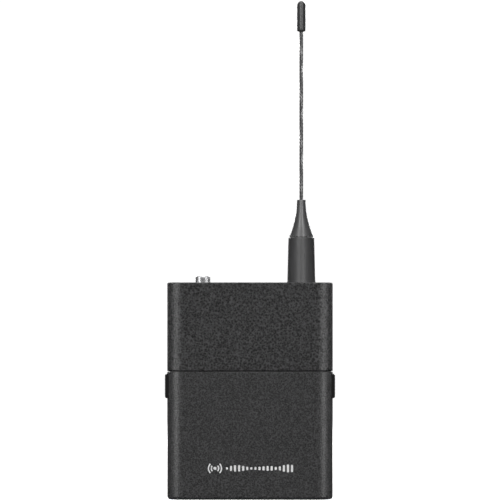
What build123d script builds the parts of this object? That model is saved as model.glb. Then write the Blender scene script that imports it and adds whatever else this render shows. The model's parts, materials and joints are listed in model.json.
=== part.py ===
"""A wireless bodypack transmitter, modelled as the separate pieces it is assembled from.

Millimetres. X runs across the front face, +Y to the back, +Z up towards the antenna.
The origin is the middle of the face that the pack stands on.
"""

import os
from math import hypot

from build123d import *

# ---------------------------------------------------------------- driving dimensions
# Case
WIDTH, DEPTH, HEIGHT = 64.0, 20.0, 83.8
FRONT_ROUND = 6.6  # rounding of the long front edges, seen from above
BACK_ROUND = 4.5
BOTTOM_ROUND = 1.2
TOP_ROUND = 0.35
WALL = 1.6
TOP_WALL = 2.0
FLOOR = 1.6

# Where the shells part
PARTING = 1.0  # the plane between the front pieces and the rear shell
SHELL_GAP = 0.12
TONGUE_THICK, TONGUE_FRONT, TONGUE_LOW = 0.75, -0.2, 7.2
REBATE_LOW = 4.6  # the cover's rebate starts lower, so that the cover swings clear of the tongue
TONGUE_CLEAR = 0.1
EDGE_BREAK = 0.25  # chamfer along the visible parting edges

# Battery cover, its hinge and its top seam
HINGE_Y, HINGE_Z = -6.6, 2.6
LIP_REACH = 3.8  # the cover's bottom lip lies within this radius of the hinge
HINGE_CLEAR = 0.2
SEAM_Z, SEAM_GAP = 49.45, 0.42
LIP_R_IN, LIP_THICK = 46.5, 0.8  # the strip on the upper shell that backs the seam
PIN_R, PIN_BORE, PIN_SEAT = 0.75, 0.80, 0.77
KNUCKLE_R = 1.65
COVER_KNUCKLES = ((15.6, 19.6), (23.4, 27.4))
ARM_NEAR, ARM_FAR = 20.0, 23.0
ARM_LOW, ARM_HIGH = 1.5, 3.4

# Latches, one on each side of the cover
LATCH_LOW, LATCH_HIGH = 39.1, 48.6
LATCH_FRONT, LATCH_BACK = -6.0, -1.0
LATCH_PROUD, LATCH_ROUND = 0.9, 0.7
LATCH_IN = 27.8
LATCH_CLEAR = 0.15
FLANGE_IN, FLANGE_OUT = 28.6, 30.1
BARB_BACK, BARB_OUT = 3.8, 29.4
ARM_IN, ARM_OUT = 28.0, 28.9
KEEPER_IN, KEEPER_FRONT, KEEPER_BACK, KEEPER_HALF = 29.5, 1.6, 2.8, 3.0
HOOK_HALF = 2.0  # half the height of the barb and of the spring's rib
SPRING_Y, SPRING_R, SPRING_WIRE, SPRING_TURNS = -5.6, 1.0, 0.16, 5
SPRING_RIB, RIB_THICK = 24.4, 0.9

# Two AA cells, lying across the pack
CELL_R, CELL_LENGTH = 7.1, 50.2
NUB_R, NUB_LENGTH = 2.75, 1.0
CELL_Y = 0.3
LOWER_Z, UPPER_Z = 11.4, 26.7
CRIMP, SHOULDER = 1.2, 0.9  # rounded ends of a cell's can
PLATE_X, PLATE_THICK, PLATE_HALF = 26.6, 0.4, 4.5
BUMP_R = 1.9
CELL_SPRING_R, CELL_SPRING_WIRE, CELL_SPRING_TURNS = 2.6, 0.25, 2

# Inner tray, with the button panel above the cells
TRAY_IN, TRAY_OUT = 27.1, 28.4
TRAY_LOW, TRAY_HIGH = 1.9, 35.2
TRAY_FRONT, TRAY_FLOOR, TRAY_BACK = -5.2, 7.5, 8.15
PANEL_HALF, PANEL_FRONT, PANEL_BACK = 26.0, -4.2, -3.0
SHELF_FRONT, SHELF_LOW, SHELF_HIGH = -7.2, 50.6, 51.6
TRAY_BASE_FRONT, TRAY_PLATE = -1.6, 1.2
CRADLE_X, CRADLE_THICK, CRADLE_FRONT = (-21.0, -7.0, 7.0, 21.0), 1.2, 1.5
CRADLE_CLEAR = 0.08
PAD_HALF, PAD_LOW, PAD_HIGH, PAD_BACK = 18.0, 12.0, 26.0, -7.1

# Circuit board
BOARD_HALF, BOARD_FRONT, BOARD_BACK = 22.6, 3.6, 4.8
BOARD_LOW, BOARD_HIGH = 40.0, 79.0

# Screws, as (x, z)
CASE_SCREWS = ((-25.5, 56.0), (25.5, 56.0), (-25.5, 76.5), (25.5, 76.5))
TRAY_SCREWS = ((-23.5, 37.6), (23.5, 37.6))
BOARD_SCREWS = ((-19.0, 62.0), (19.0, 62.0), (7.0, 42.4))
SEAT_GAP = 0.03  # between a screw head or a pillar and what it bears on
CASE_PILLAR_R, TRAY_PILLAR_R, BOARD_PILLAR_R = 2.5, 2.1, 1.9
CASE_PILOT_R, BOARD_PILOT_R = 0.85, 0.75
CASE_SHANK_HOLE, CASE_HEAD_HOLE, CASE_HEAD_DEEP = 1.15, 2.05, 1.7
TRAY_SHANK_HOLE, BOARD_SHANK_HOLE = 1.05, 0.95

# Blank rating label in its recess
LABEL_HALF, LABEL_LOW, LABEL_HIGH, LABEL_CLEAR = 17.0, 30.0, 52.0, 0.2
LABEL_DEEP, LABEL_SUNK, LABEL_FLOOR = 0.3, 0.05, 0.03

# Buttons behind the cover, as (x, radius)
BUTTON_Z = 43.6
POWER, SYNC, CHECK = (-12.5, 2.7), (1.5, 1.9), (12.5, 1.9)
BUTTON_CLEAR = 0.3
BUTTON_FRONT, STEM_BACK, STEM_R = -5.0, -0.45, 1.0
BUTTON_FLANGE, BUTTON_EDGE = 0.9, 0.35
SWITCH_FACE, SWITCH_TOP, SWITCH_HALF, PLUNGER_R = 0.05, 1.0, 3.0, 1.7

# Top face
JACK_X, JACK_PROUD = -18.25, 2.4
JACK_R, JACK_NECK_R, JACK_TUBE_R = 2.9, 2.72, 2.45
JACK_BORE, JACK_FLOOR, JACK_CHAMFER = 1.78, 71.0, 0.3
JACK_BODY_HALF, JACK_BODY_FRONT, JACK_BODY_LOW, JACK_BODY_HIGH = 4.2, -4.4, 69.5, 79.5
ANTENNA_X = 19.87
LED_R, LED_FOOT, LED_SUNK = 1.0, 77.6, 0.1
LINK_X, DATA_X = 5.6, 9.8
POCKET_LEFT, POCKET_RIGHT, POCKET_HALF, POCKET_DEPTH = -8.0, 0.0, 2.4, 1.3
SLOT_LEFT, SLOT_RIGHT, SLOT_HALF = -6.6, -1.4, 1.0
KNOB_LEFT, KNOB_LENGTH, KNOB_HALF, KNOB_SUNK = -7.75, 5.0, 2.1, 0.15
KNOB_RIBS, RIB_HALF, RIB_DEEP = 4, 0.2, 0.45
TONGUE_LEFT, TONGUE_RIGHT, TONGUE_FOOT = -6.3, -4.3, 79.4

# Antenna
SLEEVE_R_LOW, SLEEVE_R_HIGH, SLEEVE_TOP = 5.53, 5.02, 101.36
COLLAR_R = 4.6
BOOT_LOW, BOOT_SPLIT, BOOT_MID, BOOT_TOP = 101.76, 104.94, 108.45, 115.79
BOOT_R_LOW, BOOT_R_MID, BOOT_R_TOP = 4.87, 2.53, 1.66
GROOVE_R, GROOVE_WIRE = 3.62, 0.09
CORE_R, CORE_TOP, STUD_R, STUD_LOW = 2.0, 103.5, 2.6, 77.8
NUT_LOW, ANTENNA_NUT, JACK_NUT = 79.7, 9.0, 8.0
WHIP_R, WHIP_LOW, WHIP_HIGH = 0.70, 98.0, 187.0
TIP_R, TIP_LOW, TIP_HIGH = 1.735, 180.93, 192.78
CLOSE_FIT = 0.04  # radial gap between fixed round pieces

# Belt clip of round spring wire
WIRE_R, EAR_BORE = 1.1, 1.15
CLIP_Y, CLIP_Z = 12.4, 71.0
EAR_NEAR, EAR_FAR, EAR_R = 17.5, 22.5, 2.7
LEG_X, LEG_Y, FOOT_Y, FOOT_Z = 24.5, 15.8, 14.2, 15.0
PINCH_Y, PINCH_Z = 11.7, 23.0  # where the wire comes closest to the back

# ---------------------------------------------------------------- worked out from these
HALF_X, FRONT, BACK = WIDTH / 2, -DEPTH / 2, DEPTH / 2
IN_X, IN_FRONT, IN_BACK = HALF_X - WALL, FRONT + WALL, BACK - WALL
CEILING = HEIGHT - TOP_WALL
SEAM_R = hypot(SEAM_Z - HINGE_Z, FRONT - HINGE_Y)
CORNER_REACH = PARTING - SHELL_GAP - HINGE_Y  # the lower back corners of the cover
LATCH_MID = (LATCH_LOW + LATCH_HIGH) / 2
CELL_END = CELL_LENGTH / 2
FAR = 120.0  # beyond the case on every side, for cutting blocks


# ---------------------------------------------------------------- helpers
def block(low, high, mode=Mode.ADD):
    """An upright box between two opposite corners."""
    centre = tuple((a + b) / 2 for a, b in zip(low, high))
    with Locations(centre):
        Box(*[b - a for a, b in zip(low, high)], mode=mode)


def both_sides(low, high, mode=Mode.ADD):
    """The same upright box on the right, and mirrored on the left."""
    block(low, high, mode)
    block((-high[0], low[1], low[2]), (-low[0], high[1], high[2]), mode)


def rod(start, end, radius, mode=Mode.ADD):
    """A round bar between two points."""
    run = Vector(*end) - Vector(*start)
    middle = (Vector(*start) + Vector(*end)) / 2
    with Locations(Plane(origin=middle, z_dir=run).location):
        Cylinder(radius, run.length, mode=mode)


def hinge_rod(x_from, x_to, radius, mode=Mode.ADD):
    """A bar about the cover's hinge axis."""
    rod((x_from, HINGE_Y, HINGE_Z), (x_to, HINGE_Y, HINGE_Z), radius, mode)


def along_y(x, z, y_from, y_to, radius, mode=Mode.ADD):
    """A bar that runs from front to back."""
    rod((x, y_from, z), (x, y_to, z), radius, mode)


def upright(x, z_from, z_to, radius, mode=Mode.ADD):
    """An upright bar on the mid-plane of the case."""
    rod((x, 0, z_from), (x, 0, z_to), radius, mode)


def hexagon(x, z_from, z_to, across_flats, mode=Mode.ADD):
    """An upright hexagonal bar on the mid-plane of the case."""
    with BuildSketch(Plane((x, 0, z_from))) as outline:
        RegularPolygon(across_flats / 2, 6, major_radius=False)
    extrude(outline.sketch, z_to - z_from, mode=mode)


def case_block(inset, bottom, top):
    """The case's outline seen from above, set in by inset, between two heights."""
    with BuildPart() as solid:
        with BuildSketch(Plane.XY.offset(bottom)) as outline:
            Rectangle(WIDTH - 2 * inset, DEPTH - 2 * inset)
            fillet(outline.vertices().group_by(Axis.Y)[0], FRONT_ROUND - inset)
            fillet(outline.vertices().group_by(Axis.Y)[-1], BACK_ROUND - inset)
        extrude(amount=top - bottom)
    return solid.part


def on_skin(point):
    """True where a point lies on the case's upright outside, rounded corners included."""
    round_r = FRONT_ROUND if point.Y < 0 else BACK_ROUND
    across = max(abs(point.X) - (HALF_X - round_r), 0)
    along = max(abs(point.Y) - (DEPTH / 2 - round_r), 0)
    return abs(hypot(across, along) - round_r) < 0.01


def skin_edges(part, place):
    """The edges that run along the case's outside and pass a test at three points."""
    return [e for e in part.edges() if all(on_skin(e @ t) and place(e @ t) for t in (0, 0.5, 1))]


def hinge_distance(point):
    return hypot(point.Y - HINGE_Y, point.Z - HINGE_Z)


def socket_screw(x, z, head_face, head_r, head_length, shank_r, shank_end):
    """A socket-head screw along Y, from the face of its head to the end of its shank."""
    towards = 1 if shank_end > head_face else -1
    under_head = head_face + towards * head_length
    with BuildPart() as screw:
        along_y(x, z, head_face, under_head, head_r)
        along_y(x, z, under_head, shank_end, shank_r)
        with BuildSketch(Plane(origin=(x, head_face, z), z_dir=(0, towards, 0))):
            RegularPolygon(head_r * 0.5, 6)
        extrude(amount=head_length * 0.6, mode=Mode.SUBTRACT)
    return screw.part


def coil(start, towards, length, radius, wire, turns, lean=0):
    """A coil spring between two planes; lean widens it, in degrees, along its length."""
    run = Vector(*towards)
    first = Vector(*start) + run * wire
    path = Helix(
        (length - 2 * wire) / turns,
        length - 2 * wire,
        radius,
        center=first,
        direction=run,
        cone_angle=lean,
    )
    with BuildPart() as spring:
        with BuildSketch(Plane(origin=path @ 0, z_dir=path % 0)):
            Circle(wire)
        sweep(path=path)
    return spring.part


# ---------------------------------------------------------------- shared shapes
with BuildPart() as case:
    add(case_block(0, 0, HEIGHT))
    fillet(case.edges().group_by(Axis.Z)[0], BOTTOM_ROUND)
    fillet(case.edges().group_by(Axis.Z)[-1], TOP_ROUND)

# A ring inside the front wall that stands behind the seam
lip_core = case_block(WALL + LATCH_CLEAR + LIP_THICK, 0, HEIGHT)
seam_lip_blank = case_block(WALL + LATCH_CLEAR, LATCH_LOW, SHELF_LOW + 2) - lip_core
lip_root_blank = case_block(WALL - 0.3, SHELF_LOW, SHELF_LOW + 2) - lip_core
hollow = case_block(WALL, FLOOR, CEILING)

# ---------------------------------------------------------------- rear shell
with BuildPart() as rear_shell:
    add(case.part)
    add(hollow, mode=Mode.SUBTRACT)
    block((-FAR, -FAR, HINGE_Z), (FAR, PARTING, FAR), Mode.SUBTRACT)
    block((-FAR, -FAR, CEILING - SHELL_GAP), (FAR, FAR, FAR), Mode.SUBTRACT)
    # The floor ends at the hinge, and lies between the cover's side walls.
    block((-FAR, -FAR, -1), (FAR, HINGE_Y, FAR), Mode.SUBTRACT)
    hinge_rod(-FAR, FAR, LIP_REACH + HINGE_CLEAR, Mode.SUBTRACT)
    for side in (-1, 1):
        outer, inner = side * FAR, side * (IN_X - HINGE_CLEAR)
        hinge_rod(min(outer, inner), max(outer, inner), CORNER_REACH + SHELL_GAP, Mode.SUBTRACT)
    chamfer(skin_edges(rear_shell, lambda p: abs(p.Y - PARTING) < 0.01), EDGE_BREAK)
    # A tongue on each side wall stands inside the front pieces.
    both_sides((IN_X, TONGUE_FRONT, TONGUE_LOW), (IN_X + TONGUE_THICK, PARTING + 1, CEILING - 0.5))
    both_sides((IN_X - 0.2, PARTING + 0.5, TONGUE_LOW), (IN_X + 0.2, PARTING + 1.5, CEILING - 0.5))
    # Hinge arms reach forward from the floor to the pins.
    for side in (-1, 1):
        near, far = sorted((side * ARM_NEAR, side * ARM_FAR))
        hinge_rod(near, far, KNUCKLE_R)
        block((near, HINGE_Y, ARM_LOW), (far, -2.4, ARM_HIGH))
        block((near, -3.4, 0.6), (far, -1.9, ARM_HIGH))
    hinge_rod(-FAR, FAR, PIN_SEAT, Mode.SUBTRACT)
    # Keepers for the latch barbs.
    both_sides(
        (KEEPER_IN, KEEPER_FRONT, LATCH_MID - KEEPER_HALF),
        (IN_X + 0.5, KEEPER_BACK, LATCH_MID + KEEPER_HALF),
    )
    # Ears for the belt clip.
    for side in (-1, 1):
        near, far = sorted((side * EAR_NEAR, side * EAR_FAR))
        rod((near, CLIP_Y, CLIP_Z), (far, CLIP_Y, CLIP_Z), EAR_R)
        block((near, BACK - 0.5, CLIP_Z - EAR_R - 1), (far, CLIP_Y, CLIP_Z + EAR_R))
    rod((-FAR, CLIP_Y, CLIP_Z), (FAR, CLIP_Y, CLIP_Z), EAR_BORE, Mode.SUBTRACT)
    # Pillars for the case, tray and board screws.
    for x, z in CASE_SCREWS:
        along_y(x, z, PARTING + SEAT_GAP, IN_BACK + 0.5, CASE_PILLAR_R)
        along_y(x, z, -FAR, FAR, CASE_SHANK_HOLE, Mode.SUBTRACT)
        along_y(x, z, BACK - CASE_HEAD_DEEP, FAR, CASE_HEAD_HOLE, Mode.SUBTRACT)
    for x, z in TRAY_SCREWS:
        along_y(x, z, PANEL_BACK + SEAT_GAP, IN_BACK + 0.5, TRAY_PILLAR_R)
        along_y(x, z, PANEL_BACK - 1, 6.0, CASE_PILOT_R, Mode.SUBTRACT)
    for x, z in BOARD_SCREWS:
        along_y(x, z, BOARD_BACK + SEAT_GAP, IN_BACK + 0.5, BOARD_PILLAR_R)
        along_y(x, z, BOARD_BACK - 1, IN_BACK + 0.2, BOARD_PILOT_R, Mode.SUBTRACT)
    # Recess for the rating label.
    block(
        (-LABEL_HALF - LABEL_CLEAR, BACK - LABEL_DEEP, LABEL_LOW - LABEL_CLEAR),
        (LABEL_HALF + LABEL_CLEAR, FAR, LABEL_HIGH + LABEL_CLEAR),
        Mode.SUBTRACT,
    )

# ---------------------------------------------------------------- front shell
with BuildPart() as front_shell:
    add(case.part)
    add(hollow, mode=Mode.SUBTRACT)
    block((-FAR, PARTING - SHELL_GAP, -FAR), (FAR, FAR, CEILING), Mode.SUBTRACT)
    hinge_rod(-FAR, FAR, SEAM_R + SEAM_GAP, Mode.SUBTRACT)
    chamfer(
        skin_edges(front_shell, lambda p: abs(hinge_distance(p) - SEAM_R - SEAM_GAP) < 0.01)
        + skin_edges(front_shell, lambda p: abs(p.Y - PARTING + SHELL_GAP) < 0.01)
        + skin_edges(front_shell, lambda p: abs(p.Z - CEILING) < 0.01),
        EDGE_BREAK,
    )
    add(seam_lip_blank)
    add(lip_root_blank)
    hinge_rod(-FAR, FAR, LIP_R_IN, Mode.SUBTRACT)
    block((-FAR, PARTING - 0.6, -FAR), (FAR, FAR, SHELF_LOW + 3), Mode.SUBTRACT)
    # A rebate for the rear shell's tongues.
    both_sides(
        (IN_X - 0.01, TONGUE_FRONT - LATCH_CLEAR, -FAR),
        (IN_X + TONGUE_THICK + TONGUE_CLEAR, FAR, CEILING),
        Mode.SUBTRACT,
    )
    # Bosses for the case screws.
    for x, z in CASE_SCREWS:
        along_y(x, z, IN_FRONT - 0.5, PARTING - SEAT_GAP, CASE_PILLAR_R)
        along_y(x, z, IN_FRONT + 1.0, FAR, CASE_PILOT_R, Mode.SUBTRACT)
    # Holes in the top wall.
    upright(JACK_X, CEILING - 1, HEIGHT + 1, JACK_NECK_R + CLOSE_FIT, Mode.SUBTRACT)
    upright(ANTENNA_X, CEILING - 1, HEIGHT + 1, STUD_R + CLOSE_FIT, Mode.SUBTRACT)
    for x in (LINK_X, DATA_X):
        upright(x, CEILING - 1, HEIGHT + 1, LED_R + CLOSE_FIT, Mode.SUBTRACT)
    block(
        (POCKET_LEFT, -POCKET_HALF, HEIGHT - POCKET_DEPTH),
        (POCKET_RIGHT, POCKET_HALF, FAR),
        Mode.SUBTRACT,
    )
    block((SLOT_LEFT, -SLOT_HALF, CEILING - 1), (SLOT_RIGHT, SLOT_HALF, FAR), Mode.SUBTRACT)

# ---------------------------------------------------------------- battery cover
with BuildPart() as behind_lip:
    block((-IN_X, HINGE_Y, -1), (IN_X, FAR, FLOOR + 0.01))
    hinge_rod(-FAR, FAR, LIP_REACH, Mode.SUBTRACT)

with BuildPart() as behind_corners:
    block((-FAR, HINGE_Y, -1), (FAR, FAR, HINGE_Z))
    hinge_rod(-FAR, FAR, CORNER_REACH, Mode.SUBTRACT)

with BuildPart() as battery_cover:
    add(case.part)
    add(hollow, mode=Mode.SUBTRACT)
    block((-FAR, PARTING - SHELL_GAP, -FAR), (FAR, FAR, FAR), Mode.SUBTRACT)
    hinge_rod(-FAR, FAR, SEAM_R, Mode.INTERSECT)
    add(behind_lip.part, mode=Mode.SUBTRACT)
    add(behind_corners.part, mode=Mode.SUBTRACT)
    chamfer(
        skin_edges(battery_cover, lambda p: abs(hinge_distance(p) - SEAM_R) < 0.01)
        + skin_edges(battery_cover, lambda p: abs(p.Y - PARTING + SHELL_GAP) < 0.01)
        + skin_edges(battery_cover, lambda p: abs(hinge_distance(p) - CORNER_REACH) < 0.01),
        EDGE_BREAK,
    )
    both_sides(
        (IN_X - 0.01, TONGUE_FRONT - LATCH_CLEAR, REBATE_LOW),
        (IN_X + TONGUE_THICK + TONGUE_CLEAR, FAR, FAR),
        Mode.SUBTRACT,
    )
    # Slots in the lip for the hinge arms, with the knuckles beside them.
    both_sides(
        (ARM_NEAR - HINGE_CLEAR, IN_FRONT, -1),
        (ARM_FAR + HINGE_CLEAR, FAR, FLOOR + 0.5),
        Mode.SUBTRACT,
    )
    for near, far in COVER_KNUCKLES:
        both_sides((near, IN_FRONT - 0.5, FLOOR - 0.6), (far, HINGE_Y + 1.2, HINGE_Z))
        hinge_rod(near, far, KNUCKLE_R)
        hinge_rod(-far, -near, KNUCKLE_R)
    hinge_rod(-FAR, FAR, PIN_BORE, Mode.SUBTRACT)
    # Windows and guides for the latches, and the ribs their springs push against.
    both_sides(
        (SPRING_RIB + 2, LATCH_FRONT - LATCH_CLEAR, LATCH_LOW - LATCH_CLEAR),
        (FAR, LATCH_BACK + LATCH_CLEAR, LATCH_HIGH + LATCH_CLEAR),
        Mode.SUBTRACT,
    )
    both_sides(
        (SPRING_RIB - RIB_THICK, IN_FRONT - 0.5, LATCH_MID - HOOK_HALF),
        (SPRING_RIB, SPRING_Y + RIB_THICK, LATCH_MID + HOOK_HALF),
    )
    both_sides(
        (SPRING_RIB - RIB_THICK, IN_FRONT - 0.5, LATCH_LOW - 2.7),
        (SPRING_RIB + 3.2, SPRING_Y, LATCH_LOW - 1.7),
    )

# ---------------------------------------------------------------- latches and their springs
latch_outline = case_block(-LATCH_PROUD, LATCH_LOW, LATCH_HIGH)


def latch(side):
    """The slider that the thumb presses in, with its stop flange and barb."""
    with BuildPart() as slider:
        add(latch_outline)
        block((LATCH_IN, LATCH_FRONT, LATCH_LOW), (FAR, LATCH_BACK, LATCH_HIGH), Mode.INTERSECT)
        outer = slider.faces().filter_by(lambda f: f.center().X > HALF_X - 1.5)
        half_height = (LATCH_HIGH - LATCH_LOW) / 2
        rim = [e for f in outer for e in f.edges() if abs(e.center().Z - LATCH_MID) > half_height - 0.05]
        fillet(rim, LATCH_ROUND)
        # The flange, the boss for the spring, the arm and its barb.
        block((FLANGE_IN, -4.0, LATCH_LOW - 1.2), (FLANGE_OUT, LATCH_BACK + 0.5, LATCH_HIGH - 0.6))
        low, high = LATCH_MID - HOOK_HALF, LATCH_MID + HOOK_HALF
        block((LATCH_IN, LATCH_FRONT - 1, low), (FLANGE_IN, LATCH_FRONT + 0.5, high))
        block((ARM_IN, -3.0, low), (ARM_OUT, BARB_BACK, high))
        block((ARM_IN, KEEPER_BACK + 0.2, low), (BARB_OUT, BARB_BACK, high))
        if side < 0:
            mirror(about=Plane.YZ, mode=Mode.REPLACE)
    return slider.part


with BuildPart() as latch_right:
    add(latch(1))

with BuildPart() as latch_left:
    add(latch(-1))


def latch_spring(side):
    """The coil between the cover's rib and the latch."""
    start = (side * (SPRING_RIB + 0.05), SPRING_Y, LATCH_MID)
    length = LATCH_IN - SPRING_RIB - 0.1
    return coil(start, (side, 0, 0), length, SPRING_R, SPRING_WIRE, SPRING_TURNS)


with BuildPart() as latch_spring_right:
    add(latch_spring(1))

with BuildPart() as latch_spring_left:
    add(latch_spring(-1))

# ---------------------------------------------------------------- hinge pins and cover pad
with BuildPart() as hinge_pins:
    for side in (-1, 1):
        near, far = sorted((side * (COVER_KNUCKLES[0][0] + 0.2), side * (COVER_KNUCKLES[1][1] - 0.2)))
        hinge_rod(near, far, PIN_R)

with BuildPart() as battery_pad:
    block((-PAD_HALF, IN_FRONT + 0.02, PAD_LOW), (PAD_HALF, PAD_BACK, PAD_HIGH))
    fillet(battery_pad.edges().filter_by(Axis.Y), 1.5)

# ---------------------------------------------------------------- battery tray
with BuildPart() as battery_tray:
    block((-TRAY_OUT, TRAY_FLOOR, TRAY_LOW), (TRAY_OUT, TRAY_BACK, TRAY_HIGH))
    both_sides((TRAY_IN, TRAY_FRONT, TRAY_LOW), (TRAY_OUT, TRAY_BACK, TRAY_HIGH))
    block((-TRAY_OUT, TRAY_BASE_FRONT, TRAY_LOW), (TRAY_OUT, TRAY_BACK, TRAY_LOW + 1))
    block((-TRAY_OUT, PANEL_FRONT, TRAY_HIGH - TRAY_PLATE), (TRAY_OUT, TRAY_BACK, TRAY_HIGH))
    block((-PANEL_HALF, PANEL_FRONT, TRAY_HIGH - 1), (PANEL_HALF, PANEL_BACK, SHELF_HIGH))
    block((-PANEL_HALF, SHELF_FRONT, SHELF_LOW), (PANEL_HALF, PANEL_BACK, SHELF_HIGH))
    # Ribs that cradle the cells.
    for x in CRADLE_X:
        left, right = x - CRADLE_THICK / 2, x + CRADLE_THICK / 2
        block((left, CRADLE_FRONT, TRAY_LOW), (right, TRAY_BACK, TRAY_HIGH))
    for z in (LOWER_Z, UPPER_Z):
        rod((-TRAY_IN, CELL_Y, z), (TRAY_IN, CELL_Y, z), CELL_R + CRADLE_CLEAR, Mode.SUBTRACT)
    hinge_rod(-FAR, FAR, LIP_REACH + HINGE_CLEAR, Mode.SUBTRACT)
    for x, z in TRAY_SCREWS:
        along_y(x, z, -FAR, FAR, TRAY_SHANK_HOLE, Mode.SUBTRACT)
    for x, radius in (POWER, SYNC, CHECK):
        along_y(x, BUTTON_Z, -FAR, FAR, radius + BUTTON_CLEAR, Mode.SUBTRACT)

# ---------------------------------------------------------------- cells and contacts


def cell(z, plus_side):
    """An AA cell with its plus end to the right, 1, or to the left, -1."""
    body_end = CELL_END - NUB_LENGTH
    with BuildPart() as battery:
        with BuildSketch(Plane.XY) as half:
            with BuildLine():
                Polyline(
                    (-CELL_END, 0),
                    (-CELL_END, CELL_R - CRIMP),
                    (-CELL_END + 0.5, CELL_R - 0.1),
                    (-CELL_END + CRIMP, CELL_R),
                    (body_end - SHOULDER, CELL_R),
                    (body_end - 0.3, CELL_R - 0.2),
                    (body_end, CELL_R - SHOULDER),
                    (body_end, NUB_R),
                    (CELL_END, NUB_R),
                    (CELL_END, 0),
                    close=True,
                )
            make_face()
        revolve(axis=Axis.X)
    turned = battery.part if plus_side > 0 else battery.part.mirror(Plane.YZ)
    return turned.moved(Location((0, CELL_Y, z)))


def contact_plate(side, bottom, top):
    """A pressed contact plate against one end wall of the tray."""
    inner, outer = sorted((side * PLATE_X, side * (PLATE_X + PLATE_THICK)))
    block((inner, CELL_Y - PLATE_HALF, bottom), (outer, CELL_Y + PLATE_HALF, top))


def plus_bump(side, z):
    """The raised bump that meets a cell's nub."""
    rod((side * (CELL_END + 0.05), CELL_Y, z), (side * PLATE_X, CELL_Y, z), BUMP_R)


def cell_spring(side, z):
    """The coil that presses on a cell's flat end."""
    start = (side * (PLATE_X - 0.05), CELL_Y, z)
    length = PLATE_X - CELL_END - 0.1
    return coil(start, (-side, 0, 0), length, CELL_SPRING_R, CELL_SPRING_WIRE, CELL_SPRING_TURNS)


with BuildPart() as battery_cell_upper:
    add(cell(UPPER_Z, 1))

with BuildPart() as battery_cell_lower:
    add(cell(LOWER_Z, -1))

with BuildPart() as contact_plus:
    contact_plate(1, UPPER_Z - PLATE_HALF, UPPER_Z + PLATE_HALF)
    plus_bump(1, UPPER_Z)

with BuildPart() as contact_minus:
    contact_plate(1, LOWER_Z - PLATE_HALF, LOWER_Z + PLATE_HALF)

with BuildPart() as contact_bridge:
    contact_plate(-1, LOWER_Z - PLATE_HALF, UPPER_Z + PLATE_HALF)
    plus_bump(-1, LOWER_Z)

with BuildPart() as contact_spring_upper:
    add(cell_spring(-1, UPPER_Z))

with BuildPart() as contact_spring_lower:
    add(cell_spring(1, LOWER_Z))

# ---------------------------------------------------------------- circuit board
with BuildPart() as main_board:
    block((-BOARD_HALF, BOARD_FRONT, BOARD_LOW), (BOARD_HALF, BOARD_BACK, BOARD_HIGH))
    fillet(main_board.edges().filter_by(Axis.Y), 1.0)
    for x, z in BOARD_SCREWS:
        along_y(x, z, -FAR, FAR, BOARD_SHANK_HOLE, Mode.SUBTRACT)

with BuildPart() as rf_shield:
    shield_low, shield_high = (-9.0, 1.3, 51.0), (14.0, BOARD_FRONT - SEAT_GAP, 72.0)
    block(shield_low, shield_high)
    fillet(rf_shield.edges().filter_by(Axis.Y), 0.8)
    # Cooling holes, blind.
    middle_x, middle_z = (shield_low[0] + shield_high[0]) / 2, (shield_low[2] + shield_high[2]) / 2
    with Locations(Plane(origin=(middle_x, shield_low[1], middle_z), z_dir=(0, -1, 0)).location):
        with GridLocations(4.0, 4.0, 5, 4):
            Cylinder(0.5, 1.0, mode=Mode.SUBTRACT)

# Each chip is (x, z, width, height, thickness).
CHIPS = (
    (-17.0, 53.0, 6.0, 6.0, 1.0),
    (-5.0, 47.5, 4.0, 2.4, 0.9),
    (7.5, 48.3, 3.2, 1.6, 1.2),
    (18.0, 54.0, 5.0, 4.0, 1.1),
    (18.5, 47.5, 3.0, 6.0, 1.6),
    (19.0, 70.5, 4.4, 4.4, 1.4),
    (-19.0, 47.0, 3.4, 5.0, 1.8),
    (-12.0, 61.5, 2.0, 3.2, 0.8),
    (-14.5, 65.5, 2.0, 1.2, 0.6),
)
with BuildPart() as board_components:
    for x, z, wide, tall, thick in CHIPS:
        block(
            (x - wide / 2, BOARD_FRONT - SEAT_GAP - thick, z - tall / 2),
            (x + wide / 2, BOARD_FRONT - SEAT_GAP, z + tall / 2),
        )

with BuildPart() as button_switches:
    for x, _ in (POWER, SYNC, CHECK):
        block(
            (x - SWITCH_HALF, SWITCH_TOP, BUTTON_Z - SWITCH_HALF),
            (x + SWITCH_HALF, BOARD_FRONT - SEAT_GAP, BUTTON_Z + SWITCH_HALF),
        )
        along_y(x, BUTTON_Z, SWITCH_FACE, SWITCH_TOP, PLUNGER_R)

with BuildPart() as mute_switch_body:
    block((-9.5, -3.2, 74.5), (1.5, BOARD_FRONT - SEAT_GAP, 80.6))
    block((-6.8, -1.2, 78.6), (-1.2, 1.2, FAR), Mode.SUBTRACT)


# ---------------------------------------------------------------- buttons and slider
def button(x, radius):
    """A round push button with its retaining flange and stem."""
    with BuildPart() as cap:
        along_y(x, BUTTON_Z, BUTTON_FRONT, PANEL_BACK + 0.4, radius)
        fillet(cap.edges().group_by(Axis.Y)[0], BUTTON_EDGE)
        along_y(x, BUTTON_Z, PANEL_BACK + 0.3, PANEL_BACK + 1.1, radius + BUTTON_FLANGE)
        along_y(x, BUTTON_Z, PANEL_BACK + 1.0, STEM_BACK, STEM_R)
    return cap.part


with BuildPart() as power_button:
    add(button(*POWER))

with BuildPart() as sync_button:
    add(button(*SYNC))

with BuildPart() as check_button:
    add(button(*CHECK))

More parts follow.
